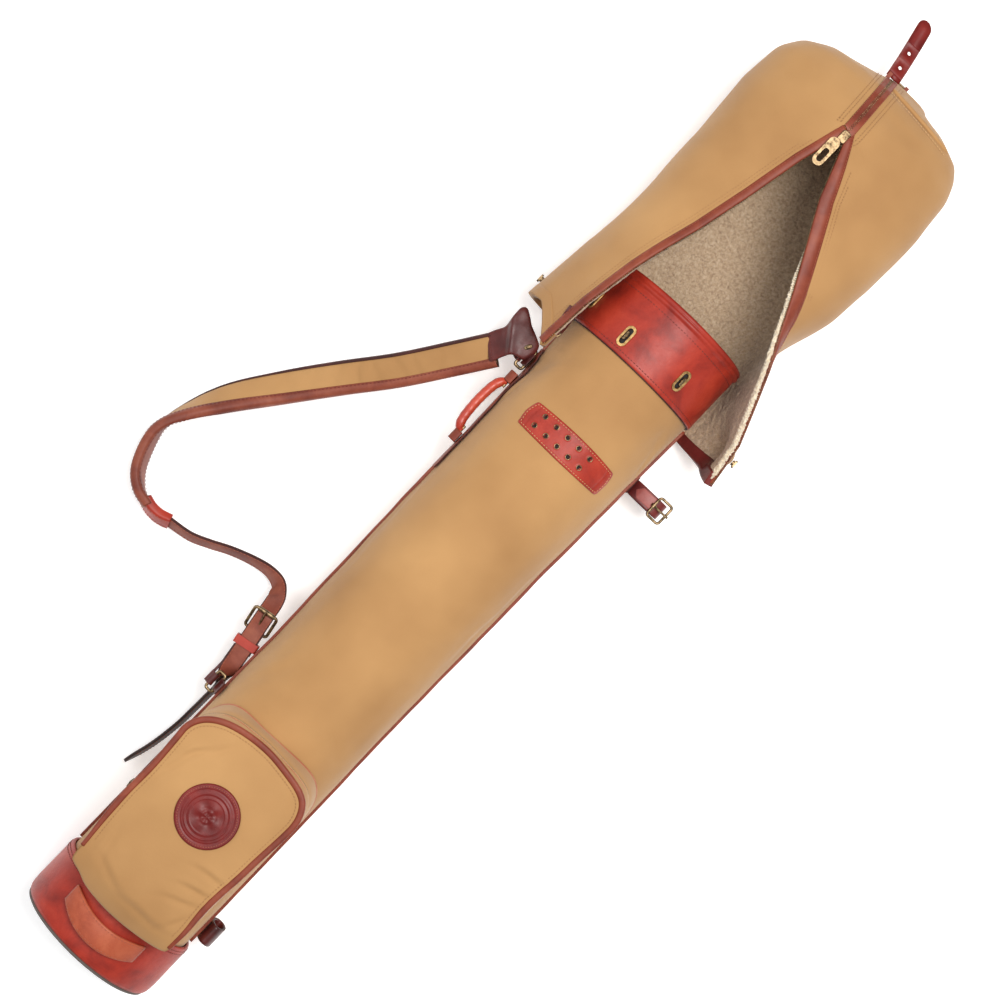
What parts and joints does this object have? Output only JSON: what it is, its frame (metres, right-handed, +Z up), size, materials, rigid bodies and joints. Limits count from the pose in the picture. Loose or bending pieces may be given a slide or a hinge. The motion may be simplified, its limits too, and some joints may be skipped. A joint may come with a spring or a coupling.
{
  "type": "golf bag",
  "caption": "Slim canvas and leather golf bag lying on its back, with a ball pocket, padded shoulder strap, carry handle and an unzipped fleece-lined hood.",
  "frame": {"origin": "middle of the sole's edge on the surface the bag lies on: x = 0 is the tube's middle, y = 0 the sole's outer face, z = 0 the surface", "axes": "+Y along the bag from the sole to the hood, +Z up away from the surface, the shoulder strap lies on the -X side"},
  "size_m": [0.4737, 1.2706, 0.1933],
  "materials": {
    "canvas": "woven cotton canvas",
    "nylon_liner": "plain woven lining",
    "leather_red": "smooth oiled leather",
    "leather_dark": "dark burnished leather",
    "leather_rust": "narrow binding leather",
    "leather_patch": "embossed leather",
    "fleece": "short pile fleece",
    "antique_brass": "antique brass",
    "sole_rubber": "matt rubber",
    "hard_plastic": "moulded plastic",
    "steel_band": "spring steel band"
  },
  "bodies": {
    "bag": {"base_boot": "leather_red", "base_sole": "sole_rubber", "base_rim_welt": "leather_red", "base_plate": "hard_plastic", "base_grab_strap": "leather_red", "body_tube": "canvas", "body_liner": "nylon_liner", "cuff_hoop": "steel_band", "divider_bar": "leather_dark", "side_welts": "leather_rust", "top_cuff": "leather_red", "cuff_rim": "leather_red", "cuff_turn_plates": "antique_brass", "tee_holder_patch": "leather_red", "pocket_gusset": "canvas", "pocket_front": "canvas", "pocket_piping_front": "leather_rust", "pocket_piping_back": "leather_rust", "pocket_zip_tape": "leather_rust", "pocket_patch": "leather_patch", "handle_strip": "leather_rust", "handle_anchors": "leather_rust", "handle_pins": "antique_brass", "strap_rings": "antique_brass", "strap_chapes": "leather_dark", "umbrella_anchor": "leather_dark", "umbrella_lower_loop": "leather_red"},
    "hood": {"hood_shell": "canvas", "hood_lining": "fleece", "hood_hem_trim": "leather_rust", "hood_zip_tape": "leather_rust", "hood_zip_teeth": "antique_brass", "hood_zip_closed": "leather_rust", "hood_studs": "antique_brass", "hood_strap_anchor": "leather_rust", "hood_strap_pin": "antique_brass"},
    "hood_zip_slider": {"hood_zip_slider": "antique_brass"},
    "hood_zip_pull": {"hood_zip_pull": "antique_brass"},
    "hood_top_strap": {"hood_top_strap": "leather_red"},
    "turn_knob_left": {"cuff_knob_left": "antique_brass"},
    "turn_knob_middle": {"cuff_knob_middle": "antique_brass"},
    "turn_knob_right": {"cuff_knob_right": "antique_brass"},
    "pocket_zip_slider": {"pocket_zip_slider": "antique_brass"},
    "pocket_zip_pull": {"pocket_zip_pull": "antique_brass"},
    "handle": {"handle_tabs": "leather_rust", "handle_grip": "leather_red"},
    "shoulder_strap": {"strap_end_tab": "leather_dark", "strap_tab_rivet": "antique_brass", "strap_pad": "canvas", "strap_pad_backing": "leather_rust", "strap_sleeve": "leather_red", "strap_leather": "leather_rust", "strap_buckle_frame": "antique_brass", "strap_buckle_chape": "leather_dark"},
    "strap_roller": {"strap_buckle_roller": "antique_brass"},
    "strap_tongue": {"strap_buckle_tongue": "antique_brass"},
    "strap_keeper": {"strap_keeper": "leather_red"},
    "umbrella_loop": {"umbrella_strap": "leather_red", "umbrella_buckle_frame": "antique_brass"},
    "umbrella_tongue": {"umbrella_buckle_tongue": "antique_brass"}
  },
  "joints": [
    {"name": "hood_slide", "type": "slide", "parent": "bag", "child": "hood", "axis": [0, 1, 0], "range_m": [0, 0.15]},
    {"name": "hood_zip_run", "type": "slide", "parent": "hood", "child": "hood_zip_slider", "axis": [0, 1, 0], "range_m": [0, 0.03]},
    {"name": "hood_zip_pull_flip", "type": "hinge", "parent": "hood_zip_slider", "child": "hood_zip_pull", "pos_m": [-0.0105, 1.103, 0.157], "axis": [-1, 0, 0], "range_deg": [0, 100]},
    {"name": "top_strap_swing", "type": "hinge", "parent": "hood", "child": "hood_top_strap", "pos_m": [-0.008, 1.2096, 0.06], "axis": [1, 0, 0], "range_deg": [-45, 60]},
    {"name": "turn_knob_left_turn", "type": "hinge", "parent": "bag", "child": "turn_knob_left", "pos_m": [-0.07704, 0.83, 0.10992], "axis": [-0.9063, 0, 0.4226], "range_deg": [0, 90]},
    {"name": "turn_knob_middle_turn", "type": "hinge", "parent": "bag", "child": "turn_knob_middle", "pos_m": [-0.02823, 0.82, 0.15417], "axis": [-0.3322, 0, 0.9432], "range_deg": [0, 90]},
    {"name": "turn_knob_right_turn", "type": "hinge", "parent": "bag", "child": "turn_knob_right", "pos_m": [0.04276, 0.826, 0.14746], "axis": [0.503, 0, 0.8643], "range_deg": [0, 90]},
    {"name": "pocket_zip_run", "type": "slide", "parent": "bag", "child": "pocket_zip_slider", "axis": [-0.1398, 0.9902, 0], "range_m": [0, 0.045]},
    {"name": "pocket_pull_swing", "type": "hinge", "parent": "pocket_zip_slider", "child": "pocket_zip_pull", "pos_m": [-0.07652, 0.16107, 0.1522], "axis": [-0.1398, 0.9902, 0], "range_deg": [0, 75]},
    {"name": "handle_swing", "type": "hinge", "parent": "bag", "child": "handle", "pos_m": [-0.084, 0.6745, 0.076], "axis": [0, 1, 0], "range_deg": [-35, 60]},
    {"name": "shoulder_strap_swing", "type": "hinge", "parent": "bag", "child": "shoulder_strap", "pos_m": [-0.092, 0.5, 0.072], "axis": [0, 1, 0], "range_deg": [0, 80]},
    {"name": "strap_roller_turn", "type": "hinge", "parent": "shoulder_strap", "child": "strap_roller", "pos_m": [-0.09841, 0.36867, 0.071], "axis": [0.9854, 0.1701, 0], "continuous": true},
    {"name": "strap_tongue_swing", "type": "hinge", "parent": "shoulder_strap", "child": "strap_tongue", "pos_m": [-0.0945, 0.346, 0.0615], "axis": [0.9854, 0.1701, 0], "range_deg": [0, 35]},
    {"name": "strap_keeper_slide", "type": "slide", "parent": "shoulder_strap", "child": "strap_keeper", "axis": [-0.1701, 0.9854, 0], "range_m": [-0.004, 0.005]},
    {"name": "umbrella_loop_swing", "type": "hinge", "parent": "bag", "child": "umbrella_loop", "pos_m": [0.0805, 0.722, 0.05], "axis": [0, -1, 0], "range_deg": [-10, 30]},
    {"name": "umbrella_tongue_swing", "type": "hinge", "parent": "umbrella_loop", "child": "umbrella_tongue", "pos_m": [0.112, 0.722, 0.0624], "axis": [0, -1, 0], "range_deg": [0, 50]}
  ]
}
